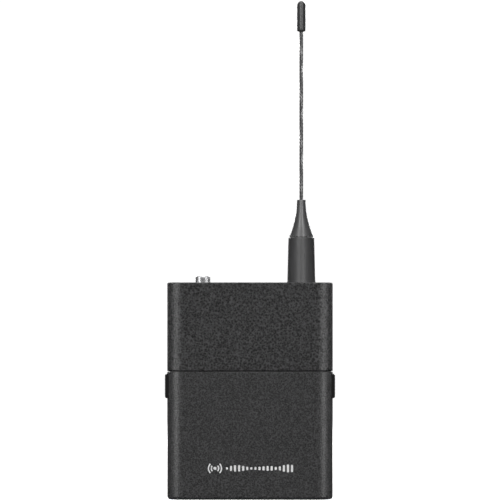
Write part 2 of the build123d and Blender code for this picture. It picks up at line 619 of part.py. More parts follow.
with BuildPart() as mute_slider:
    pocket_floor = HEIGHT - POCKET_DEPTH
    block(
        (KNOB_LEFT, -KNOB_HALF, pocket_floor + 0.1),
        (KNOB_LEFT + KNOB_LENGTH, KNOB_HALF, HEIGHT - KNOB_SUNK),
    )
    fillet(mute_slider.edges().filter_by(Axis.Z), 0.5)
    # Grooves for the fingertip.
    for rib in range(KNOB_RIBS):
        x = KNOB_LEFT + KNOB_LENGTH * (rib + 1.5) / (KNOB_RIBS + 2)
        groove_end = KNOB_HALF - 0.3
        block(
            (x - RIB_HALF, -groove_end, HEIGHT - RIB_DEEP),
            (x + RIB_HALF, groove_end, FAR),
            Mode.SUBTRACT,
        )
    block((TONGUE_LEFT, -0.7, TONGUE_FOOT), (TONGUE_RIGHT, 0.7, pocket_floor + 0.2))

# ---------------------------------------------------------------- indicator lenses


def light_pipe(x):
    """A clear rod from the top face down to a foot beside its lamp."""
    with BuildPart() as pipe:
        upright(x, LED_FOOT + 1.0, HEIGHT - LED_SUNK, LED_R)
        block((x - LED_R, -LED_R, LED_FOOT), (x + LED_R, BOARD_FRONT - SEAT_GAP, LED_FOOT + 1.1))
    return pipe.part


with BuildPart() as link_led_lens:
    add(light_pipe(LINK_X))

with BuildPart() as data_led_lens:
    add(light_pipe(DATA_X))

# ---------------------------------------------------------------- audio jack
with BuildPart() as jack_socket:
    block(
        (JACK_X - JACK_BODY_HALF, JACK_BODY_FRONT, JACK_BODY_LOW),
        (JACK_X + JACK_BODY_HALF, BOARD_FRONT - SEAT_GAP, JACK_BODY_HIGH),
    )
    upright(JACK_X, JACK_BODY_HIGH - 0.5, HEIGHT + JACK_PROUD - JACK_CHAMFER, JACK_TUBE_R)
    upright(JACK_X, JACK_FLOOR, FAR, JACK_BORE, Mode.SUBTRACT)

# The collar's neck goes through the top wall, and its wider end stands on it.
with BuildPart() as jack_collar:
    upright(JACK_X, JACK_BODY_HIGH + 0.1, HEIGHT + 1, JACK_NECK_R)
    upright(JACK_X, HEIGHT + SEAT_GAP, HEIGHT + JACK_PROUD, JACK_R)
    upright(JACK_X, 0, FAR, JACK_TUBE_R + CLOSE_FIT, Mode.SUBTRACT)
    chamfer(jack_collar.edges().group_by(Axis.Z)[-1].sort_by(SortBy.RADIUS)[-1], JACK_CHAMFER)

with BuildPart() as jack_nut:
    hexagon(JACK_X, NUT_LOW, CEILING - SEAT_GAP, JACK_NUT)
    upright(JACK_X, 0, FAR, JACK_NECK_R + CLOSE_FIT, Mode.SUBTRACT)

# ---------------------------------------------------------------- antenna

with BuildPart() as antenna_sleeve:
    with BuildSketch(Plane.XZ):
        with BuildLine():
            Line((0, HEIGHT + SEAT_GAP), (SLEEVE_R_LOW, HEIGHT + SEAT_GAP))
            Line((SLEEVE_R_LOW, HEIGHT + SEAT_GAP), (SLEEVE_R_LOW - 0.12, HEIGHT + 0.9))
            Line((SLEEVE_R_LOW - 0.12, HEIGHT + 0.9), (SLEEVE_R_HIGH, SLEEVE_TOP - 0.35))
            Line((SLEEVE_R_HIGH, SLEEVE_TOP - 0.35), (SLEEVE_R_HIGH - 0.3, SLEEVE_TOP))
            Line((SLEEVE_R_HIGH - 0.3, SLEEVE_TOP), (0, SLEEVE_TOP))
            Line((0, SLEEVE_TOP), (0, HEIGHT + SEAT_GAP))
        make_face()
    revolve(axis=Axis.Z)
    Cylinder(CORE_R + CLOSE_FIT, 3 * FAR, mode=Mode.SUBTRACT)
antenna_sleeve.part.locate(Location((ANTENNA_X, 0, 0)))

with BuildPart() as antenna_collar:
    upright(ANTENNA_X, SLEEVE_TOP + SEAT_GAP, BOOT_LOW - SEAT_GAP, COLLAR_R)
    upright(ANTENNA_X, 0, 3 * FAR, CORE_R + CLOSE_FIT, Mode.SUBTRACT)

with BuildPart() as antenna_boot:
    with BuildSketch(Plane.XZ):
        with BuildLine():
            Line((0, BOOT_LOW), (BOOT_R_LOW, BOOT_LOW))
            ThreePointArc((BOOT_R_LOW, BOOT_LOW), (BOOT_R_MID, BOOT_MID), (BOOT_R_TOP, BOOT_TOP))
            Line((BOOT_R_TOP, BOOT_TOP), (0, BOOT_TOP))
            Line((0, BOOT_TOP), (0, BOOT_LOW))
        make_face()
    revolve(axis=Axis.Z)
    with Locations((0, 0, BOOT_SPLIT)):
        Torus(GROOVE_R, GROOVE_WIRE, mode=Mode.SUBTRACT)
    with Locations((0, 0, BOOT_LOW)):
        Cylinder(CORE_R + CLOSE_FIT, 4.0, mode=Mode.SUBTRACT)
    Cylinder(WHIP_R + CLOSE_FIT, 3 * FAR, mode=Mode.SUBTRACT)
antenna_boot.part.locate(Location((ANTENNA_X, 0, 0)))

with BuildPart() as antenna_core:
    upright(ANTENNA_X, STUD_LOW, HEIGHT, STUD_R)
    upright(ANTENNA_X, HEIGHT - 0.1, CORE_TOP, CORE_R)
    upright(ANTENNA_X, WHIP_LOW - SEAT_GAP, FAR, WHIP_R + CLOSE_FIT, Mode.SUBTRACT)

with BuildPart() as antenna_whip:
    upright(ANTENNA_X, WHIP_LOW, WHIP_HIGH, WHIP_R)

with BuildPart() as antenna_tip:
    upright(ANTENNA_X, TIP_LOW, TIP_HIGH, TIP_R)
    fillet(antenna_tip.edges().group_by(Axis.Z)[-1], TIP_R - 0.01)
    fillet(antenna_tip.edges().group_by(Axis.Z)[0], 0.9)
    upright(ANTENNA_X, TIP_LOW - 1, WHIP_HIGH + SEAT_GAP, WHIP_R + CLOSE_FIT, Mode.SUBTRACT)

with BuildPart() as antenna_nut:
    hexagon(ANTENNA_X, NUT_LOW, CEILING - SEAT_GAP, ANTENNA_NUT)
    upright(ANTENNA_X, 0, FAR, STUD_R + CLOSE_FIT, Mode.SUBTRACT)

# ---------------------------------------------------------------- belt clip
with BuildPart() as belt_clip:
    half = [
        (EAR_NEAR - 0.5, CLIP_Y, CLIP_Z),
        (LEG_X, CLIP_Y, CLIP_Z),
        (LEG_X, LEG_Y, 63.5),
        (LEG_X, LEG_Y, 37.0),
        (LEG_X, PINCH_Y, PINCH_Z),
        (LEG_X, FOOT_Y, FOOT_Z),
    ]
    bends = [1.8, 5.0, 8.0, 5.0, 4.0]
    other_half = [(-x, y, z) for x, y, z in reversed(half)]
    with BuildLine() as wire:
        FilletPolyline(*half, *other_half, radius=bends + bends[::-1])
    with BuildSketch(Plane(origin=wire.wire() @ 0, z_dir=wire.wire() % 0)):
        Circle(WIRE_R)
    sweep(path=wire.wire())

# ---------------------------------------------------------------- screws and label
with BuildPart() as housing_screws:
    for x, z in CASE_SCREWS:
        add(socket_screw(x, z, BACK - 0.1, 1.9, 1.5, 0.8, -3.0))

with BuildPart() as tray_screws:
    for x, z in TRAY_SCREWS:
        add(socket_screw(x, z, PANEL_FRONT - 1.1, 1.6, 1.07, 0.8, 3.0))

with BuildPart() as board_screws:
    for x, z in BOARD_SCREWS:
        add(socket_screw(x, z, BOARD_FRONT - 0.9, 1.4, 0.87, 0.7, 7.6))

with BuildPart() as rating_label:
    block(
        (-LABEL_HALF, BACK - LABEL_DEEP + LABEL_FLOOR, LABEL_LOW),
        (LABEL_HALF, BACK - LABEL_SUNK, LABEL_HIGH),
    )
    fillet(rating_label.edges().filter_by(Axis.Y), 1.0)

# ---------------------------------------------------------------- one file for each piece
PIECES = {
    "rear_shell": rear_shell,
    "front_shell": front_shell,
    "battery_cover": battery_cover,
    "latch_left": latch_left,
    "latch_right": latch_right,
    "latch_spring_left": latch_spring_left,
    "latch_spring_right": latch_spring_right,
    "hinge_pins": hinge_pins,
    "battery_pad": battery_pad,
    "battery_tray": battery_tray,
    "battery_cell_upper": battery_cell_upper,
    "battery_cell_lower": battery_cell_lower,
    "contact_plus": contact_plus,
    "contact_minus": contact_minus,
    "contact_bridge": contact_bridge,
    "contact_spring_upper": contact_spring_upper,
    "contact_spring_lower": contact_spring_lower,
    "main_board": main_board,
    "rf_shield": rf_shield,
    "board_components": board_components,
    "button_switches": button_switches,
    "mute_switch_body": mute_switch_body,
    "power_button": power_button,
    "sync_button": sync_button,
    "check_button": check_button,
    "mute_slider": mute_slider,
    "link_led_lens": link_led_lens,
    "data_led_lens": data_led_lens,
    "jack_socket": jack_socket,
    "jack_collar": jack_collar,
    "jack_nut": jack_nut,
    "antenna_sleeve": antenna_sleeve,
    "antenna_collar": antenna_collar,
    "antenna_boot": antenna_boot,
    "antenna_core": antenna_core,
    "antenna_whip": antenna_whip,
    "antenna_tip": antenna_tip,
    "antenna_nut": antenna_nut,
    "belt_clip": belt_clip,
    "housing_screws": housing_screws,
    "tray_screws": tray_screws,
    "board_screws": board_screws,
    "rating_label": rating_label,
}
os.makedirs("parts", exist_ok=True)
for name, piece in PIECES.items():
    piece.part.label = name
    export_step(piece.part, f"parts/{name}.step")
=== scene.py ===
"""Looks for the wireless bodypack transmitter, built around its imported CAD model. Metres."""

import json
from math import cos, floor, pi, sin, tau

import bmesh
import bpy
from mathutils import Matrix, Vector


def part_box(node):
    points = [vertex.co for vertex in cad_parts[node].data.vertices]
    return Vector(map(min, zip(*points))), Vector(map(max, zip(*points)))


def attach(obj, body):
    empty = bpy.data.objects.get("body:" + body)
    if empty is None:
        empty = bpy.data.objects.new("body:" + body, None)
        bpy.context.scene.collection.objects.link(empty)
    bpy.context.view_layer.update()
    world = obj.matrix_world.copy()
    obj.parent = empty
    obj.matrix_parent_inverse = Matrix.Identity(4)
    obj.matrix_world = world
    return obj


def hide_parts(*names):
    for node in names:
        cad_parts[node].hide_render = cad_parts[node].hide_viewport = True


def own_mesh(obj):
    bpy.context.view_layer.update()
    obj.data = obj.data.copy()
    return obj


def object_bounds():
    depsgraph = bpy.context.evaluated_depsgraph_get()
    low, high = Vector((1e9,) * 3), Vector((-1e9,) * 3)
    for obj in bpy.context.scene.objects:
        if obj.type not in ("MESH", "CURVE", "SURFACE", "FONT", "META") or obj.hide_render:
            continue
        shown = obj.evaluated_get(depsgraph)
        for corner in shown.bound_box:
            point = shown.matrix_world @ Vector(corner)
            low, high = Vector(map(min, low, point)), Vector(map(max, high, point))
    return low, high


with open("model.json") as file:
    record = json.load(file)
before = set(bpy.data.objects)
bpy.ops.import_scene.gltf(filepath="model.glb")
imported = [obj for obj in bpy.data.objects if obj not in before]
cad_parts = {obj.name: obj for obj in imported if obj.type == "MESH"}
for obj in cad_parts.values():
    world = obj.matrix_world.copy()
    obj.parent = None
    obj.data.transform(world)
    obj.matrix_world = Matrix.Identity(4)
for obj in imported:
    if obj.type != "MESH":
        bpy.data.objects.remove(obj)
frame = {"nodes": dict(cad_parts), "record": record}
cad_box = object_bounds()
MM = 0.001


# ---------------------------------------------------------------- places, read from the frame
def middle(node):
    """The middle of a CAD node's box."""
    low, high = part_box(node)
    return (low + high) / 2


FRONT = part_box("battery_cover")[0].y  # the flat front face
FRONT_ROUND = 6.6 * MM  # how far back the front's rounded edges reach
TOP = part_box("front_shell")[1].z  # the top face
PANEL_FRONT = -4.2 * MM  # the face of the button panel
ANTENNA = middle("antenna_whip")
JACK = middle("jack_collar")
PRINT_THICK, PRINT_SUNK = 0.03 * MM, 0.02 * MM


# ---------------------------------------------------------------- material building blocks
class Look:
    """A node material, with short ways to add nodes to it."""

    def __init__(self, name, **sockets):
        self.material = bpy.data.materials.new(name)
        self.material.use_nodes = True
        self.tree = self.material.node_tree
        self.surface = self.tree.nodes["Principled BSDF"]
        self.coordinates = self.tree.nodes.new("ShaderNodeTexCoord").outputs["Object"]
        self.set(**sockets)

    def put(self, socket, value):
        """A socket's value: another socket to link, a number, or a colour."""
        if isinstance(value, bpy.types.NodeSocket):
            self.tree.links.new(value, socket)
        else:
            socket.default_value = value

    def set(self, **sockets):
        """Sets the shader's sockets, named with underscores for spaces."""
        for name, value in sockets.items():
            self.put(self.surface.inputs[name.replace("_", " ")], value)

    def node(self, kind, settings=(), inputs=()):
        """A new node with these settings and these values or links at its inputs."""
        made = self.tree.nodes.new(kind)
        for name, value in dict(settings).items():
            setattr(made, name, value)
        for name, value in dict(inputs).items():
            self.put(made.inputs[name], value)
        return made

    def noise(self, size, detail=2.0, rough=0.5, stretch=None):
        """Soft noise with features about size metres across; stretch scales the axes."""
        vector = self.coordinates if stretch is None else self.stretched(stretch)
        inputs = {"Vector": vector, "Scale": 1 / size, "Detail": detail, "Roughness": rough}
        return self.node("ShaderNodeTexNoise", (), inputs).outputs["Fac"]

    def cells(self, size, feature="F1", smooth=0.0):
        """Distance to the middles, or to the edges, of cells about size metres across."""
        inputs = {"Vector": self.coordinates, "Scale": 1 / size}
        if feature == "SMOOTH_F1":
            inputs["Smoothness"] = smooth
        return self.node("ShaderNodeTexVoronoi", {"feature": feature}, inputs).outputs["Distance"]

    def stretched(self, factors):
        """Object coordinates, scaled by a factor for each axis."""
        return self.node(
            "ShaderNodeVectorMath", {"operation": "MULTIPLY"}, {0: self.coordinates, 1: factors}
        ).outputs[0]

    def axis(self, letter):
        """One of the object coordinates."""
        return self.node("ShaderNodeSeparateXYZ", (), {0: self.coordinates}).outputs[letter]

    def maths(self, operation, a, b=0.0, clamp=False):
        settings = {"operation": operation, "use_clamp": clamp}
        return self.node("ShaderNodeMath", settings, {0: a, 1: b}).outputs[0]

    def spread(self, value, low, high, to_low=0.0, to_high=1.0):
        """Maps low..high to to_low..to_high, held at the ends."""
        inputs = {0: value, 1: low, 2: high, 3: to_low, 4: to_high}
        return self.node("ShaderNodeMapRange", {"clamp": True}, inputs).outputs[0]

    def mix(self, share, a, b):
        """A colour between a and b."""
        made = self.node("ShaderNodeMix", {"data_type": "RGBA"}, {0: share})
        self.put(made.inputs[6], a)
        self.put(made.inputs[7], b)
        return made.outputs[2]

    def bump(self, height, depth, under=None):
        inputs = {"Height": height, "Distance": depth, "Strength": 1.0}
        if under is not None:
            inputs["Normal"] = under
        return self.node("ShaderNodeBump", (), inputs).outputs[0]

    def edges(self, radius):
        """1 on sharp edges and 0 on open faces."""
        rounded = self.node("ShaderNodeBevel", {"samples": 4}, {"Radius": radius}).outputs[0]
        flat = self.node("ShaderNodeNewGeometry").outputs["Normal"]
        inputs = {0: rounded, 1: flat}
        dot = self.node("ShaderNodeVectorMath", {"operation": "DOT_PRODUCT"}, inputs)
        return self.spread(dot.outputs["Value"], 0.995, 0.90)


def grey(value, tint=1.02):
    """A neutral colour, a touch cooler when tint is over 1."""
    return (value, value, value * tint, 1)


def moulded(name, base, grain, depth, speckle, roughness, edge_wear_and_highlight=0.5):
    """Moulded plastic: an eroded grain of that size and depth, with edges lightened partly by a
    little wear and partly by a painted edge highlight.
    """
    look = Look(name, Specular_IOR_Level=0.45)
    fine = look.noise(grain, 3.0, 0.65)
    pits = look.cells(grain * 1.35, "SMOOTH_F1", 0.4)
    height = look.maths("ADD", fine, look.maths("MULTIPLY", pits, 0.55))
    clouds = look.noise(9 * MM, 3.0)
    share = look.spread(height, 0.58, 0.98)
    dark, light = grey(base * (1 - speckle)), grey(base * (1 + speckle))
    colour = look.mix(share, dark, light)
    colour = look.mix(look.spread(clouds, 0.3, 0.7, 0.0, 0.12), colour, grey(base * 1.35))
    # Sharp edges are painted lighter: partly wear, partly a painted highlight where the edges catch
    # the light.
    patches = look.spread(look.noise(2.2 * MM), 0.35, 0.7)
    worn_and_lit_edges = look.maths("MULTIPLY", look.edges(0.22 * MM), patches)
    colour = look.mix(look.maths("MULTIPLY", worn_and_lit_edges, edge_wear_and_highlight), colour, grey(base * 2.6))
    rough = look.spread(clouds, 0.3, 0.7, roughness - 0.04, roughness + 0.05)
    rough = look.maths("SUBTRACT", rough, look.maths("MULTIPLY", worn_and_lit_edges, 0.12))
    look.set(Base_Color=colour, Roughness=rough, Normal=look.bump(height, depth))
    return look.material


def satin(name, base, roughness, scuff=0.25, specular=0.5):
    """Smooth plastic or rubber with faint flow marks, fine scuffs and a soft sheen."""
    look = Look(name, Specular_IOR_Level=specular)
    flow = look.noise(2.4 * MM, 3.0, 0.55, (1, 1, 0.35))
    fine = look.noise(0.16 * MM, 2.0, 0.6)
    scratches = look.noise(0.5 * MM, 2.0, 0.7, (1, 1, 0.06))
    marked = look.spread(scratches, 0.62, 0.74)
    colour = look.mix(look.spread(flow, 0.3, 0.7), grey(base * 0.88), grey(base * 1.12))
    colour = look.mix(look.maths("MULTIPLY", marked, scuff), colour, grey(base * 1.9))
    rough = look.spread(flow, 0.3, 0.7, roughness - 0.015, roughness + 0.02)
    rough = look.maths("ADD", rough, look.maths("MULTIPLY", marked, 0.08))
    height = look.maths("ADD", fine, look.maths("MULTIPLY", flow, 0.6))
    look.set(Base_Color=colour, Roughness=rough, Normal=look.bump(height, 0.006 * MM))
    return look.material


def metal(name, colour, roughness, grain=(1, 1, 1), size=0.25, tarnish=0.2):
    """Bare or plated metal, with fine lines where grain is stretched, and faint tarnish."""
    look = Look(name, Metallic=1.0)
    lines = look.noise(size * MM, 3.0, 0.65, grain)
    stain = look.noise(1.8 * MM, 4.0, 0.6)
    darker = tuple(c * 0.72 for c in colour) + (1,)
    share = look.maths("MULTIPLY", look.spread(stain, 0.45, 0.75), tarnish)
    look.set(
        Base_Color=look.mix(share, tuple(colour) + (1,), darker),
        Roughness=look.spread(lines, 0.3, 0.7, roughness - 0.06, roughness + 0.1),
        Normal=look.bump(lines, 0.004 * MM),
    )
    return look.material


# ---------------------------------------------------------------- materials, one for each finish
def upper_plastic():
    return moulded("upper_plastic", 0.042, 0.60 * MM, 0.14 * MM, 0.95, 0.41)


def cover_plastic():
    return moulded("cover_plastic", 0.046, 0.44 * MM, 0.07 * MM, 0.75, 0.41)


def rear_plastic():
    return moulded("rear_plastic", 0.042, 0.42 * MM, 0.06 * MM, 0.5, 0.52)


def inner_plastic():
    return moulded("inner_plastic", 0.026, 0.8 * MM, 0.01 * MM, 0.12, 0.42, 0.15)


def latch_plastic():
    return satin("latch_plastic", 0.012, 0.45, 0.15, 0.35)


def button_plastic():
    return satin("button_plastic", 0.075, 0.38)


def antenna_plastic():
    return satin("antenna_plastic", 0.022, 0.40, 0.15, 0.40)


def antenna_rubber():
    return satin("antenna_rubber", 0.024, 0.36, 0.1, 0.8)


def tip_plastic():
    return satin("tip_plastic", 0.018, 0.26, 0.1)


def silver_metal():
    return metal("silver_metal", (0.60, 0.60, 0.61), 0.44, (0.15, 0.15, 4.0), 0.3, 0.25)


def switch_steel():
    return metal("switch_steel", (0.56, 0.56, 0.57), 0.34, (0.2, 1, 1))


def spring_steel():
    return metal("spring_steel", (0.60, 0.60, 0.61), 0.26)


def contact_metal():
    return metal("contact_metal", (0.68, 0.66, 0.62), 0.28, (1, 1, 0.1), 0.3, 0.35)


def shield_metal():
    return metal("shield_metal", (0.62, 0.62, 0.63), 0.36, (0.12, 1, 1), 0.3, 0.3)


def antenna_brass():
    return metal("antenna_brass", (0.72, 0.55, 0.27), 0.25, (0.1, 0.1, 3.0), 0.3, 0.35)


def screw_steel():
    """Black oxide, rubbed bright on the edges of the heads."""
    look = Look("screw_steel", Metallic=0.85)
    stain = look.noise(0.7 * MM, 3.0)
    colour = look.mix(look.spread(stain, 0.3, 0.7), grey(0.045), grey(0.09))
    colour = look.mix(look.maths("MULTIPLY", look.edges(0.12 * MM), 0.6), colour, grey(0.35))
    look.set(
        Base_Color=colour,
        Roughness=look.spread(stain, 0.3, 0.7, 0.3, 0.45),
        Normal=look.bump(look.noise(0.12 * MM), 0.006 * MM),
    )
    return look.material


def whip_wire():
    """Black coated strands, a little polished on their crowns."""
    look = Look("whip_wire", Specular_IOR_Level=1.0, Coat_Weight=1.0, Coat_Roughness=0.2)
    fine = look.noise(0.2 * MM, 2.0)
    look.set(
        Base_Color=look.mix(look.spread(fine, 0.3, 0.7), grey(0.018), grey(0.034)),
        Roughness=look.spread(fine, 0.3, 0.7, 0.2, 0.3),
        Normal=look.bump(fine, 0.006 * MM),
    )
    return look.material


def clip_wire():
    """Satin black powder coat with orange peel, chipped where the belt rubs."""
    look = Look("clip_wire", Specular_IOR_Level=0.5)
    peel = look.noise(0.5 * MM, 2.0)
    chips = look.spread(look.noise(1.6 * MM, 5.0, 0.7), 0.68, 0.72)
    colour = look.mix(look.spread(peel, 0.3, 0.7), grey(0.022), grey(0.032))
    look.set(
        Base_Color=look.mix(look.maths("MULTIPLY", chips, 0.5), colour, grey(0.16)),
        Roughness=look.spread(peel, 0.3, 0.7, 0.32, 0.44),
        Normal=look.bump(peel, 0.03 * MM),
    )
    return look.material


def lens():
    """Clear light pipe, slightly milky, with faint mould marks."""
    look = Look("lens", IOR=1.49, Transmission_Weight=0.75)
    haze = look.noise(0.6 * MM, 3.0)
    milky, clear = (0.72, 0.75, 0.76, 1), (0.84, 0.87, 0.88, 1)
    look.set(
        Base_Color=look.mix(look.spread(haze, 0.3, 0.7), milky, clear),
        Roughness=look.spread(haze, 0.3, 0.7, 0.12, 0.26),
        Normal=look.bump(haze, 0.01 * MM),
    )
    return look.material


def board_laminate():
    """Green solder mask over copper tracks, with tinned pads and small drilled vias."""
    look = Look("board_laminate", Specular_IOR_Level=0.55, Coat_Weight=0.3, Coat_Roughness=0.12)
    facing = {"Vector": look.coordinates, "Rotation": (pi / 2, 0, 0)}
    brick = look.node(
        "ShaderNodeTexBrick",
        {"offset": 0.37, "squash": 0.6, "squash_frequency": 3},
        {
            "Vector": look.node("ShaderNodeMapping", (), facing).outputs[0],
            "Scale": 1 / (9 * MM),
            "Mortar Size": 0.035,
            "Brick Width": 0.7,
            "Row Height": 0.28,
        },
    )
    tracks = brick.outputs["Fac"]
    vias = look.spread(look.cells(2.3 * MM), 0.11, 0.08)
    weave = look.noise(0.3 * MM, 2.0, 0.5, (1, 1, 0.2))
    deep_green, green = (0.010, 0.060, 0.026, 1), (0.014, 0.078, 0.034, 1)
    mask = look.mix(look.spread(weave, 0.3, 0.7), deep_green, green)
    colour = look.mix(look.maths("MULTIPLY", tracks, 0.7), mask, (0.035, 0.15, 0.06, 1))
    colour = look.mix(vias, colour, (0.55, 0.50, 0.38, 1))
    raised, woven = look.maths("MULTIPLY", tracks, 0.7), look.maths("MULTIPLY", weave, 0.2)
    height = look.maths("ADD", raised, woven)
    look.set(
        Base_Color=colour,
        Roughness=look.spread(weave, 0.3, 0.7, 0.26, 0.36),
        Normal=look.bump(height, 0.03 * MM),
    )
    return look.material


def chip_plastic():
    """Matte epoxy packages with a fine laser-etched haze."""
    look = Look("chip_plastic", Specular_IOR_Level=0.4)
    fine = look.noise(0.12 * MM, 3.0)
    look.set(
        Base_Color=look.mix(look.spread(fine, 0.35, 0.65), grey(0.014), grey(0.03)),
        Roughness=look.spread(fine, 0.3, 0.7, 0.5, 0.62),
        Normal=look.bump(fine, 0.01 * MM),
    )
    return look.material


def label_film():
    """A blank satin label with a printed border and rounded corners."""
    look = Look("label_film", Specular_IOR_Level=0.4)
    low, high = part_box("rating_label")
    half_wide, half_tall = (high.x - low.x) / 2, (high.z - low.z) / 2
    across = look.maths("ABSOLUTE", look.axis("X"))
    up = look.maths("ABSOLUTE", look.maths("SUBTRACT", look.axis("Z"), (low.z + high.z) / 2))
    inward = look.maths(
        "MINIMUM", look.maths("SUBTRACT", half_wide, across), look.maths("SUBTRACT", half_tall, up)
    )
    outer = look.spread(inward, 1.0 * MM, 1.05 * MM)
    inner = look.spread(inward, 1.35 * MM, 1.30 * MM)
    line = look.maths("MULTIPLY", outer, inner)
    fibre = look.noise(0.35 * MM, 3.0)
    film = look.mix(look.spread(fibre, 0.3, 0.7), grey(0.17), grey(0.21))
    look.set(
        Base_Color=look.mix(line, film, grey(0.62)),
        Roughness=look.spread(fibre, 0.3, 0.7, 0.38, 0.48),
        Normal=look.bump(fibre, 0.01 * MM),
    )
    return look.material


def foam():
    """Closed-cell foam: small open bubbles on a matte skin, with painted shade darkening the
    bubbles' hollows.
    """
    look = Look("foam", Specular_IOR_Level=0.2, Sheen_Weight=0.15)
    bubbles = look.cells(0.55 * MM, "SMOOTH_F1", 0.3)
    patches = look.noise(3 * MM, 3.0)
    # The bubbles' hollows are painted darker, as shade; the patches are the foam's own uneven tone.
    colour = look.mix(look.spread(bubbles, 0.05, 0.6), grey(0.012), grey(0.045))
    look.set(
        Base_Color=look.mix(look.spread(patches, 0.4, 0.7, 0.0, 0.3), colour, grey(0.06)),
        Roughness=look.spread(patches, 0.3, 0.7, 0.82, 0.92),
        Normal=look.bump(bubbles, 0.15 * MM),
    )
    return look.material


def cell_sleeve(plus_side):
    """A plain printed sleeve: grey-blue, with a pale band at the plus end behind a white line."""
    name = f"cell_sleeve_{'right' if plus_side > 0 else 'left'}"
    look = Look(name, Coat_Weight=0.6, Coat_Roughness=0.08)
    along = look.maths("MULTIPLY", look.axis("X"), plus_side)
    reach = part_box("battery_cell_upper")[1].x
    band = look.spread(along, reach - 15.0 * MM, reach - 14.8 * MM)
    line = look.maths(
        "MULTIPLY",
        look.spread(along, reach - 16.6 * MM, reach - 16.5 * MM),
        look.spread(along, reach - 15.7 * MM, reach - 15.8 * MM),
    )
    foil = look.noise(0.15 * MM, 3.0, 0.6, (0.2, 1, 1))
    share = look.spread(foil, 0.3, 0.7)
    body = look.mix(share, (0.060, 0.078, 0.105, 1), (0.070, 0.090, 0.120, 1))
    pale = look.mix(share, (0.40, 0.41, 0.43, 1), (0.46, 0.47, 0.49, 1))
    colour = look.mix(band, body, pale)
    look.set(
        Base_Color=look.mix(line, colour, grey(0.62)),
        Metallic=look.maths("MULTIPLY", band, 0.7),
        Roughness=look.spread(foil, 0.3, 0.7, 0.24, 0.36),
        Normal=look.bump(foil, 0.008 * MM),
    )
    return look.material


def white_print():
    """Pad-printed white ink, thin enough to follow the grain below it."""
    look = Look("white_print", Specular_IOR_Level=0.4)
    ink = look.noise(0.3 * MM, 3.0, 0.6)
    look.set(
        Base_Color=look.mix(look.spread(ink, 0.3, 0.7), grey(0.90, 1.0), grey(0.98, 1.0)),
        Roughness=look.spread(ink, 0.3, 0.7, 0.45, 0.6),
        Normal=look.bump(ink, 0.02 * MM),
    )
    return look.material


# ---------------------------------------------------------------- mesh building blocks
def mesh_object(name, build, material, smooth=True):
    """Ends a bmesh as an object with one material."""
    mesh = bpy.data.meshes.new(name)
    bmesh.ops.recalc_face_normals(build, faces=build.faces)
    build.to_mesh(mesh)
    build.free()
    mesh.polygons.foreach_set("use_smooth", [smooth] * len(mesh.polygons))
    if smooth:
        mesh.set_sharp_from_angle(angle=0.6)
    mesh.materials.append(material)
    made = bpy.data.objects.new(name, mesh)
    bpy.context.collection.objects.link(made)
    return made


def on_circle(radius, share):
    """The point at that share of a full turn, as (x, y)."""
    return radius * cos(share * tau), radius * sin(share * tau)


def lathe(build, outline, centre, turn, steps=64):
    """Turns an outline of (radius, height) points about an axis; turn places (x, y, h)."""
    rings = []
    for radius, height in outline:
        if radius < 1e-7:
            rings.append([build.verts.new(centre + turn(0, 0, height))])
            continue
        rings.append([
            build.verts.new(centre + turn(*on_circle(radius, i / steps), height))
            for i in range(steps)
        ])
    for a, b in zip(rings, rings[1:]):
        for i in range(steps):
            j = (i + 1) % steps
            corners = [a[i % len(a)], a[j % len(a)], b[j % len(b)], b[i % len(b)]]
            build.faces.new(list(dict.fromkeys(corners)))


def tube(build, points, radius, sides=8):
    """A round tube along points, closed at both ends."""
    rings, across = [], None
    for i, point in enumerate(points):
        before, after = points[max(i - 1, 0)], points[min(i + 1, len(points) - 1)]
        along = (after - before).normalized()
        across = (across or along.orthogonal()) - along * along.dot(across or along.orthogonal())
        across.normalize()
        other = along.cross(across)
        ring = []
        for k in range(sides):
            right, up = on_circle(1, k / sides)
            ring.append(build.verts.new(point + (across * right + other * up) * radius))
        rings.append(ring)
    for a, b in zip(rings, rings[1:]):
        for k in range(sides):
            build.faces.new((a[k], a[(k + 1) % sides], b[(k + 1) % sides], b[k]))
    build.faces.new(rings[0][::-1])
    build.faces.new(rings[-1])


def plate(build, outline, low, high, turn):
    """A flat plate: an outline of (x, z) points between two depths; turn places (x, z, depth)."""
    near = [build.verts.new(turn(x, z, low)) for x, z in outline]
    far = [build.verts.new(turn(x, z, high)) for x, z in outline]
    build.faces.new(near)
    build.faces.new(far[::-1])
    for i in range(len(outline)):
        j = (i + 1) % len(outline)
        build.faces.new((near[i], far[i], far[j], near[j]))


def rounded(x0, z0, x1, z1, radius, steps=5):
    """The outline of a rectangle with round corners."""
    corners = (
        (x1 - radius, z1 - radius), (x0 + radius, z1 - radius),
        (x0 + radius, z0 + radius), (x1 - radius, z0 + radius),
    )
    outline = []
    for quarter, (x, z) in enumerate(corners):
        for i in range(steps + 1):
            right, up = on_circle(radius, (quarter + i / steps) / 4)
            outline.append((x + right, z + up))
    return outline


def arc_band(x, z, r_in, r_out, start, end, steps=24):
    """The outline of part of a ring, from one angle to another."""
    angles = [start + (end - start) * i / steps for i in range(steps + 1)]
    outer = [(x + r_out * cos(a), z + r_out * sin(a)) for a in angles]
    inner = [(x + r_in * cos(a), z + r_in * sin(a)) for a in reversed(angles)]
    return outer + inner


def upright(x, y, z):
    """Turned about the vertical."""
    return Vector((x, y, z))


def lying(x, y, z):
    """Turned about an axis along X."""
    return Vector((z, x, y))


def on_front(x, z, depth):
    """A place on the flat front of the case, depth metres proud of it."""
    return Vector((x, FRONT - depth, z))


def on_panel(x, z, depth):
    """A place on the button panel, depth metres proud of it."""
    return Vector((x, PANEL_FRONT - depth, z))


def on_top(x, y, depth):
    """A place on the top face, depth metres proud of it."""
    return Vector((x, y, TOP + depth))


def print_shape(build, outline, place):
    """Adds a printed shape, thin and sunk a little so that no gap shows."""
    plate(build, outline, -PRINT_SUNK, PRINT_THICK, place)


